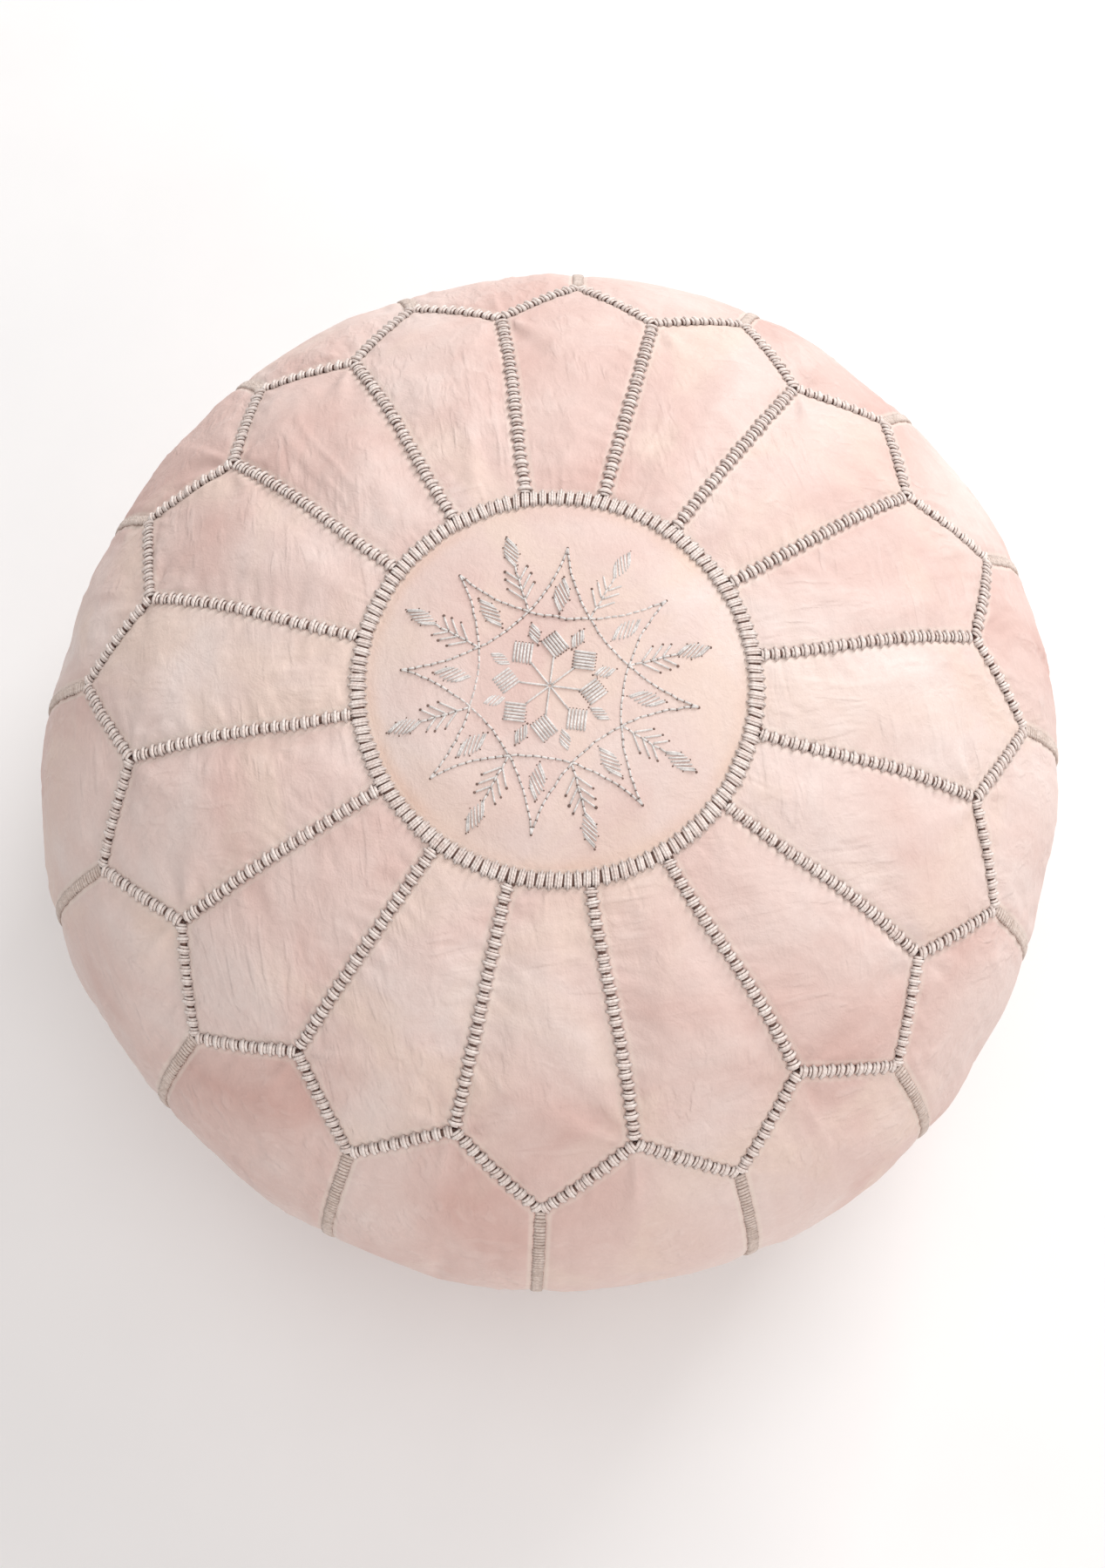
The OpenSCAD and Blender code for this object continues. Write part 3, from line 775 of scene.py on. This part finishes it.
def refine(grid):
    """Twice as many rows and columns, on a smooth curve through the points."""
    for axis in (0, 1):
        g = np.moveaxis(grid, axis, 0)
        padded = np.concatenate([2 * g[:1] - g[1:2], g, 2 * g[-1:] - g[-2:-1]])
        between = (9 * (padded[1:-2] + padded[2:-1]) - padded[:-3] - padded[3:]) / 16
        out = np.empty((2 * len(g) - 1, *g.shape[1:]))
        out[0::2], out[1::2] = g, between
        grid = np.moveaxis(out, 0, axis)
    return grid


def creases(p, s, a, near):
    """Height of the folds and puckers on a panel."""
    total = np.zeros_like(near)
    for k, (d, run) in enumerate(p.seams(s, a)):
        pucker = noise2(run / 0.0075, d / 0.030, 31 + 7 * p.k + k)
        pucker += 0.6 * noise2(run / 0.0042, d / 0.018, 57 + 7 * p.k + k)
        total += 0.00075 * pucker * np.exp(-d / 0.011) * smooth(d, 0.001, 0.005)
    across = np.interp(s, S, R) * (a - p.middle)
    warp = 0.012 * noise2(across / 0.030, s / 0.045, 71 + p.k)
    lean = 0.35 * noise2(across / 0.060, s / 0.090, 83 + p.k)
    long = noise2((across + warp + lean * (s - s.mean())) / 0.0085, s / 0.055, 90 + p.k)
    ridges = 1 - np.abs(long) ** 0.8
    patch = smooth(noise2(across / 0.030, s / 0.040, 17 + p.k), -0.25, 0.55)
    total += 0.0011 * (ridges - 0.5) * patch * smooth(near, 0.004, 0.014)
    for corner in ((0, 1) if p.kind == "petal" else (0.5,)):
        turn = p.middle + (corner - 0.5) * STEP
        down = s - float(zigzag_s(turn))
        over = np.interp(s, S, R) * (a - turn)
        far = np.hypot(down, over)
        gather = noise2(2.6 * np.arctan2(over, -down), far / 0.060, 101 + 3 * p.k + int(2 * corner))
        gather = np.maximum(gather, -0.5) * np.exp(-far / 0.030)
        total += 0.0034 * gather * smooth(far, 0.004, 0.014) * smooth(near, 0.001, 0.007)
    point = skin(s, a)
    total += 0.0016 * noise(point / 0.038, 5 + p.k) * smooth(near, 0.004, 0.020)
    total += 0.00018 * noise(point / 0.0065, 9) * smooth(near, 0.002, 0.006)
    return total


def edge_roll(near):
    """How far the leather dips into the seam at its edge."""
    return -0.0016 * (1 - smooth(near, 0.0, 0.0026)) - 0.0002 * (1 - smooth(near, 0.0026, 0.006))


def make_panels():
    shifts = simulate(panels)
    for p, shift in zip(panels, shifts):
        shift = refine(shift)
        rows, cols = shift.shape[0] - 1, shift.shape[1] - 1
        s, a = p.places(rows, cols)
        near = p.near(s, a)
        out = creases(p, s, a, near) + edge_roll(near)
        outer = skin(s, a, out) + shift
        inner = outer - skin_normal(s, a) * LEATHER
        verts, faces = sheet_shell(outer, inner)
        hem = np.full_like(near, 1.0) if p.kind == "petal" else p.near(s, a, 2)
        ob = mesh_object(p.name, verts, faces, [blush],
                         {"seam": seam_mm(near), "hem": seam_mm(hem), "tone": np.full(len(verts), p.tone)})
        settle(ob, p.node)


make_panels()

# ---------------- the medallion
MEDALLION_RISE = 0.0026  # how far the medallion swells inside its seam


def medallion_lift(s):
    return MEDALLION_RISE * smooth(s_ring - s, 0.002, 0.030)


def make_medallion():
    turns, rings = 192, 44
    s, a = np.broadcast_arrays((s_ring - EDGE) * np.linspace(0.012, 1, rings)[:, None], circle(turns))
    near = s_ring - s
    point = skin(s, a)
    puckers = 0.0004 * noise2(a * medallion_r / 0.006, near / 0.02, 3) * np.exp(-near / 0.008)
    out = (medallion_lift(s) + 0.0005 * noise(point / 0.030, 2) * smooth(near, 0.003, 0.015)
           + puckers * smooth(near, 0.001, 0.004) + edge_roll(near))
    outer = skin(s, a, out)
    inner = outer - skin_normal(s, a) * LEATHER
    verts, quads = bowl(outer, inner)
    count = len(verts)
    closing = np.concatenate([fan(count, 0, turns), fan(count + 1, count // 2, turns, flip=True)])
    faces = quads.tolist() + closing.tolist()
    verts = points_of(verts, outer[0].mean(0), inner[0].mean(0))
    seam = np.append(seam_mm(near), [s_ring * 1000] * 2)
    ob = mesh_object("medallion_leather", verts, faces, [blush],
                     {"seam": seam, "tone": np.full(len(verts), 0.4), "rim": np.ones(len(verts))})
    settle(ob, "medallion")


make_medallion()


# ---------------- whipped seams
def finish_seam(pile, name, node, material=whip_thread, dark=welt_and_hole_shade):
    settle(pile.build(name, [material, dark]), node)


def make_ring_seam():
    pile = Pile()
    a = np.linspace(0, 2 * math.pi, 721)
    s = np.full_like(a, s_ring)
    whip(pile, s, a, RING_PITCH, RING_W, RING_H, bead=0.22, dip=0.00075, slant=0.10, blunt=0.85)
    welt(pile, s, a, 0.66 * RING_W, RING_H - 0.0013)
    holes = skin(np.full(PANELS, s_ring + 0.46 * RING_W), (np.arange(PANELS) + 0.06) * STEP, 0.0006)
    dots(pile, holes, unit(holes * [0.3, 0.3, 1]), 0.0010)
    finish_seam(pile, "medallion_whipping", "medallion_seam")


def make_spoke_seams():
    pile = Pile()
    for k in range(PANELS):
        s = np.linspace(s_ring + RING_W / 2 - 0.0006, float(zigzag_s(k * STEP)) - SEAM_W * 0.30, 60)
        a = np.full_like(s, k * STEP)
        whip(pile, s, a, SPOKE_PITCH, SEAM_W, SEAM_H, bead=0.40, slant=0.06, fill=0.445, blunt=1.0)
        welt(pile, s, a, 0.46 * SEAM_W, SEAM_H - 0.0013)
    finish_seam(pile, "spoke_whipping", "spoke_seams")


def make_zigzag_seam():
    pile = Pile()
    for k in range(2 * PANELS):
        a = np.linspace(k, k + 1, 30) * STEP / 2
        s = zigzag_s(a)
        whip(pile, s, a, ZIGZAG_PITCH, SEAM_W, SEAM_H * 0.95, bead=0.34, skip=0.0002, slant=0.08,
             fill=0.445, blunt=0.95)
        welt(pile, s, a, 0.50 * SEAM_W, SEAM_H - 0.0014)
    corner = np.arange(PANELS) * STEP
    at = skin(zigzag_s(corner) - 0.0026, corner + 0.008, 0.0010)
    dots(pile, at, skin_normal(zigzag_s(corner), corner), 0.0006)
    finish_seam(pile, "zigzag_whipping", "zigzag_seam")


def make_side_seams():
    pile = Pile()
    for k in range(PANELS):
        turn = (k + 0.5) * STEP
        s = np.linspace(float(zigzag_s(turn)) + SEAM_W * 0.12, s_base - BASE_W * 0.4, 160)
        a = np.full_like(s, turn)
        whip(pile, s, a, SIDE_PITCH, SIDE_W, SIDE_H, strands=1, segments=6, fill=0.40)
        welt(pile, s, a, 0.94 * SIDE_W, SIDE_H - 0.0006)
    finish_seam(pile, "side_whipping", "side_seams", side_thread, side_welt_shade)


make_ring_seam()
make_spoke_seams()
make_zigzag_seam()
make_side_seams()

# ---------------- embroidery
STAR_POINTS = 8
STAR_STEP = 2 * math.pi / STAR_POINTS
STAR_TURN = math.radians(29)
STAR_SHIFT = np.array([-0.004, -0.003])  # the star is sewn off the medallion's middle, too
star_r = 0.065
STITCH = 0.0033  # from one needle hole to the next


def on_medallion(xy, out=0.0):
    """Points on the medallion's leather, and normals, from points in plan."""
    xy = np.asarray(xy, float).reshape(-1, 2) + STAR_SHIFT
    s = s_at(np.hypot(xy[:, 0], xy[:, 1]))
    a = np.arctan2(xy[:, 1], xy[:, 0])
    return skin(s, a, medallion_lift(s) + out), skin_normal(s, a)


def turned(xy, angle):
    c, s = math.cos(angle), math.sin(angle)
    xy = np.asarray(xy, float).reshape(-1, 2)
    return np.stack([xy[:, 0] * c - xy[:, 1] * s, xy[:, 0] * s + xy[:, 1] * c], -1)


def sew(pile, starts, ends, radius=0.00046, height=0.00085):
    """One flat stitch from each start to each end."""
    p, _ = on_medallion(starts)
    q, _ = on_medallion(ends)
    middle, normal = on_medallion((np.asarray(starts) + np.asarray(ends)) / 2)
    length = np.linalg.norm(q - p, axis=1)
    bars(pile, middle, q - p, normal, length, height, radius, segments=7)


def prick(pile, xy, radius=0.00072):
    p, normal = on_medallion(xy)
    dots(pile, p, normal, radius * (1 + rng.normal(0, 0.12, len(p))))


def backstitch(pile, path):
    """A row of stitches along a path, with a needle hole between each two."""
    path = np.asarray(path, float)
    run = run_along(path)
    count = max(1, round(run[-1] / STITCH))
    at = np.linspace(0, run[-1], count + 1)
    p = np.stack([np.interp(at, run, path[:, k]) for k in range(2)], -1)
    p[1:-1] += rng.normal(0, 0.00018, p[1:-1].shape)
    gap = 0.16 * (p[1:] - p[:-1])
    sew(pile, p[:-1] + gap, p[1:] - gap)
    prick(pile, p)


def leaf(pile, angle, r0, r1, width, strands=9):
    """An almond of slanting satin stitches along the direction angle."""
    t = (np.arange(strands) + 0.5) / strands
    lean = 0.55 * width / (r1 - r0)

    def edge(t, side):
        t = np.clip(t, 0, 1)
        return np.stack([r0 + (r1 - r0) * t, side * width / 2 * np.sin(math.pi * t)], -1)

    starts, ends = edge(t - lean, -1), edge(t + lean, 1)
    sew(pile, turned(starts, angle), turned(ends, angle), 0.00040, 0.0007)
    rims = np.concatenate([starts[2::3] - [0, 0.0007], ends[1::3] + [0, 0.0007]])
    prick(pile, turned(rims, angle), 0.00040)
    prick(pile, turned([[r0 - 0.0009, 0], [r1 + 0.0009, 0]], angle), 0.0006)


def make_embroidery():
    pile = Pile()
    neck, cross = 0.485 * star_r, 0.55 * star_r
    square_at, square_side = 0.292 * star_r, 0.135 * star_r
    tip = star_r * np.array([math.cos(STAR_STEP), math.sin(STAR_STEP)])
    sag = tip[0] - neck
    bow_r = (tip[1] ** 2 + sag ** 2) / (2 * sag)
    reach = math.asin(tip[1] / bow_r)
    bow = np.linspace(-reach, reach, 60)
    line = np.stack([neck + bow_r - bow_r * np.cos(bow), bow_r * np.sin(bow)], -1)
    for k in range(STAR_POINTS):
        to_tip = STAR_TURN + k * STAR_STEP
        to_neck = to_tip + STAR_STEP / 2
        backstitch(pile, turned(line, to_tip))
        leaf(pile, to_tip, 0.53 * star_r, 0.77 * star_r, 0.100 * star_r)
        leaf(pile, to_neck, 0.88 * star_r, 1.11 * star_r, 0.095 * star_r)
        leaf(pile, to_neck, 0.31 * star_r, 0.45 * star_r, 0.070 * star_r, 7)
        backstitch(pile, turned([[cross, 0], [0.885 * star_r, 0]], to_neck))
        for start, rise in ((0.64, 0.095), (0.715, 0.09), (0.785, 0.075)):
            for side in (-1, 1):
                root = np.array([start * star_r, side * 0.0006])
                end = root + star_r * rise * np.array([0.95, side * 0.8])
                sew(pile, turned(root, to_neck), turned(end, to_neck))
                prick(pile, turned(end + [0.0006, side * 0.0006], to_neck), 0.00075)
        square(pile, to_tip, square_at, square_side, k % 2)
        inner = square_at - 0.68 * square_side
        sew(pile, turned([[0.0008, 0]], to_tip), turned([[inner, 0]], to_tip), 0.00045, 0.0008)
        prick(pile, turned([[inner + 0.0004, 0]], to_tip), 0.0006)
    finish_seam(pile, "star_embroidery", "medallion_embroidery", silver, needle_hole)


def square(pile, angle, middle, side, flip):
    """A satin square standing on its corner: parallel stitches, side by side."""
    strands = 6
    across = (np.arange(strands) + 0.5) / strands * side - side / 2
    starts = np.stack([across, np.full(strands, -side / 2)], -1)
    ends = starts * [1, -1]
    tilt = math.pi / 4 + (math.pi / 2 if flip else 0)
    starts, ends = (turned(p, tilt) + [middle, 0] for p in (starts, ends))
    sew(pile, turned(starts, angle), turned(ends, angle), 0.00056, 0.0010)
    rims = np.concatenate([starts + (starts - ends) * 0.06, ends + (ends - starts) * 0.06])
    prick(pile, turned(rims, angle), 0.00042)


make_embroidery()

# ---------------- base, its seam and its zip stitching
slot_y = 0.0062
slot_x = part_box("zip_tape_back")[1].x - 0.004


def make_base_half(side, node):
    """Half of the base leather, with a hem turned in along the zip."""
    cols, rows = 160, 44
    turn = np.linspace(-1, 1, cols + 1) * math.radians(87.5)
    x = (base_r - EDGE) * np.sin(turn)
    inner_y = EDGE + (slot_y - EDGE) * smooth(slot_x - np.abs(x), -0.0015, 0.0015)
    outer_y = np.sqrt((base_r - EDGE) ** 2 - x ** 2)
    v = np.linspace(0, 1, rows + 1)[:, None] ** 1.25
    y = inner_y + (outer_y - inner_y) * v
    x = x + 0 * y
    to_rim, to_zip = base_r - np.hypot(x, y), y - inner_y
    sag = 0.0020 * smooth(to_rim, 0.002, 0.03) * smooth(to_zip, 0.004, 0.04)
    inside = smooth(to_rim, 0.002, 0.02) * smooth(to_zip, 0.002, 0.02)
    sag += 0.0005 * noise2(x / 0.03, side * y / 0.03, 41) * inside
    hem = smooth(to_zip, 0.0, 0.001) * (1 - smooth(to_zip, 0.003, 0.007))
    sag += 0.0005 * hem * smooth(to_rim, 0.004, 0.008)
    sag += 0.00035 * noise2(np.arctan2(y, x) * base_r / 0.006, to_rim / 0.02, 43) * np.exp(-to_rim / 0.012)
    under = np.stack([x, side * y, base_z - np.maximum(sag, 0)], -1)
    above = under + [0, 0, LEATHER]
    verts, faces = sheet_shell(under, above) if side > 0 else sheet_shell(under[:, ::-1], above[:, ::-1])
    near = np.minimum(to_rim, to_zip + 0.0015)
    if side < 0:
        near = near[:, ::-1]
    name = "base_back_leather" if side > 0 else "base_front_leather"
    ob = mesh_object(name, verts, faces, [under_leather],
                     {"seam": seam_mm(near), "tone": np.full(len(verts), 0.2 * side)})
    settle(ob, node)


make_base_half(1, "base_half_back")
make_base_half(-1, "base_half_front")


def make_zip_stitching():
    """Two rows of machine stitches on each side of the zip, which close in beyond its ends."""
    pile = Pile()
    pitch, closing = 0.0032, 0.014
    x = np.arange(-base_r + 0.008, base_r - 0.008, pitch)
    down = np.tile([0.0, 0, -1.0], (len(x), 1))
    for side in (-1, 1):
        for row in (0.0018, 0.0052):
            y = side * (row + slot_y * smooth(slot_x + closing - np.abs(x), 0, closing))
            origin = np.stack([x, y, np.full_like(x, base_z - 0.0004)], -1)
            step = np.gradient(origin, axis=0)
            bars(pile, origin, step, down, 0.86 * np.linalg.norm(step, axis=1), 0.00055, 0.00028, segments=6)
            dots(pile, origin + step / 2, down, 0.00034)
    finish_seam(pile, "zip_stitching", None, side_thread, needle_hole)


make_zip_stitching()


def make_base_seam():
    """The whipped seam that the pouf stands on, over the turned edges of the side panels and the base."""
    pile = Pile()
    turns, sides = 360, 16
    a, around = np.broadcast_arrays(circle(turns)[:, None], circle(sides))
    half_w, low, high = 0.0036, 0.0011, base_z - 0.0001
    r = base_r + half_w * np.cos(around)
    z = (high + low) / 2 + (high - low) / 2 * np.sin(around)
    points = np.stack([r * np.cos(a), r * np.sin(a), z], -1)
    last = (turns - 1) * sides
    # the turned edges under the base stitches, in painted shade
    pile.add(points, np.concatenate([grid_faces(turns, sides, wrap=True), joined_rims(last, 0, sides)]), 1)
    count = BASE_STITCHES
    turn = (np.arange(count) + rng.normal(0, 0.03, count)) / count * 2 * math.pi
    out = np.stack([np.cos(turn), np.sin(turn), 0 * turn], -1)
    side = np.stack([-np.sin(turn), np.cos(turn), 0 * turn], -1)
    down = np.tile([0.0, 0, -1.0], (count, 1))
    pitch = 2 * math.pi * base_r / count
    radius = 0.41 * pitch / 3
    for k in (-1, 0, 1):
        origin = out * base_r + side * (k * 1.86 * radius) + [0, 0, base_z]
        length, height = BASE_W * (1 - 0.07 * abs(k)), (base_z - 0.0001) * (1 - 0.05 * abs(k))
        bars(pile, origin, out, down, length, height, radius, segments=11, sink=0.15)
    finish_seam(pile, "base_whipping", "base_seam")


make_base_seam()

# ---------------- inside: the liner bag and its wadding
liner_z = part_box("liner_bottom")[0].z
filling_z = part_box("filling")[0].z


def bag_rows(inset, s_from, s_to, count, low, high=1.0):
    """Distances along the outline from s_from to s_to, at heights between low and high."""
    s = np.linspace(s_from, s_to, count)
    z = np.interp(s, S, Z) - inset * np.interp(s, S, NZ)
    return s[(z > low) & (z < high)]


def make_liner(name, node, top):
    """Half of the cotton bag: gathered at its middle, and ending at the waist."""
    turns, gap = 224, 0.0002
    inset = LEATHER + 0.0010
    if top:
        s = bag_rows(inset, 0.004, s_waist + 0.01, 60, waist_z + gap)
    else:
        s = bag_rows(inset, s_waist, s_base, 60, liner_z + 0.0012, waist_z - gap)
    s, a = s[:, None], circle(turns)
    fold = 0.5 + 0.5 * noise2(24 * np.cos(a), 24 * np.sin(a) + s / 0.07, 61)
    depth = inset + 0.0018 * fold
    outer = skin(s, a, -depth)
    inner = skin(s, a, -depth - 0.0008)
    if not top:
        shrink = np.array([0.72, 0.40, 0.12, 0.01])[:, None, None]
        floor = outer[-1:] * [1, 1, 0] * shrink + [0, 0, liner_z + 0.0002]
        outer = np.concatenate([outer, floor])
        inner = np.concatenate([inner, floor + [0, 0, 0.0008]])
    verts, faces = bowl(outer, inner)
    faces = np.concatenate([faces, joined_rims(0, len(verts) // 2, turns, flip=True)])
    ob = mesh_object(name, verts, faces, [liner_cotton])
    settle(ob, node)


def make_wadding():
    """The stuffing, as one lumpy mass with a flat floor."""
    turns, inset = 200, 0.0065
    s, a = bag_rows(inset, 0.002, s_base, 110, filling_z + 0.002)[:, None], circle(turns)
    point = skin(s, a)
    lumps = 0.0035 * np.abs(noise(point / 0.045, 77)) + 0.0012 * np.abs(noise(point / 0.014, 78))
    wall = skin(s, a, -inset - lumps)
    floor = [wall[-1:] * [k, k, 0] + [0, 0, filling_z + 0.0004] for k in (0.97, 0.7, 0.35, 0.02)]
    points = np.concatenate([wall, *floor])
    count, last = len(points) * turns, (len(points) - 1) * turns
    closing = np.concatenate([fan(count, 0, turns), fan(count + 1, last, turns, flip=True)])
    faces = grid_faces(len(points), turns, wrap=True).tolist() + closing.tolist()
    verts = points_of(points, points[0].mean(0), points[-1].mean(0))
    ob = mesh_object("wadding_mass", verts, faces, [fibre])
    settle(ob, "filling")


make_liner("liner_bag_top", "liner_top", True)
make_liner("liner_bag_bottom", "liner_bottom", False)
make_wadding()


# ---------------- the zip's CAD pieces
zip_finishes = {"zip_tape": tape_cloth, "zip_teeth": brass_teeth, "zip_": nickel}
for node in (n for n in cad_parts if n.startswith("zip_")):
    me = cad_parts[node].data
    me.materials.clear()
    me.materials.append(next(m for start, m in zip_finishes.items() if node.startswith(start)))


# ---------------- floor and light
def make_floor():
    m = Nodes("pale_floor")
    m.done(m.ramp(m.noise(12.0), (0.3, (0.95, 0.95, 0.95)), (0.7, (0.97, 0.97, 0.97))), 0.9)
    corners = 6.0 * np.array([[-1, -1, 0], [1, -1, 0], [1, 1, 0], [-1, 1, 0]])
    floor = mesh_object("floor", corners, [[0, 1, 2, 3]], [m.mat])


def area_light(name, turn, rise, distance, size, power, colour):
    """A soft lamp, placed by compass angle and elevation round the pouf."""
    data = bpy.data.lights.new(name, "AREA")
    data.energy, data.size, data.color = power, size, colour
    ob = add_object(name, data)
    turn, rise = math.radians(turn), math.radians(rise)
    away = Vector((math.cos(rise) * math.cos(turn), math.cos(rise) * math.sin(turn), math.sin(rise)))
    target = Vector((0, 0, waist_z))
    ob.location = target + away * distance
    ob.rotation_mode = "QUATERNION"
    ob.rotation_quaternion = away.to_track_quat("Z", "Y")


def make_light():
    world = bpy.data.worlds.new("studio")
    world.use_nodes = True
    glow = world.node_tree.nodes["Background"]
    glow.inputs[0].default_value = (1.0, 0.967, 0.952, 1)
    glow.inputs[1].default_value = 0.50
    bpy.context.scene.world = world
    area_light("key", 48, 31, 2.2, 1.1, 29.5, (1.0, 0.995, 0.99))
    area_light("top", 90, 84, 2.4, 1.8, 14, (0.99, 0.995, 1.0))
    area_light("fill", -68, 28, 2.4, 1.6, 14, (1.0, 0.90, 0.865))
    bpy.context.scene.view_settings.view_transform = "Standard"


make_floor()
make_light()
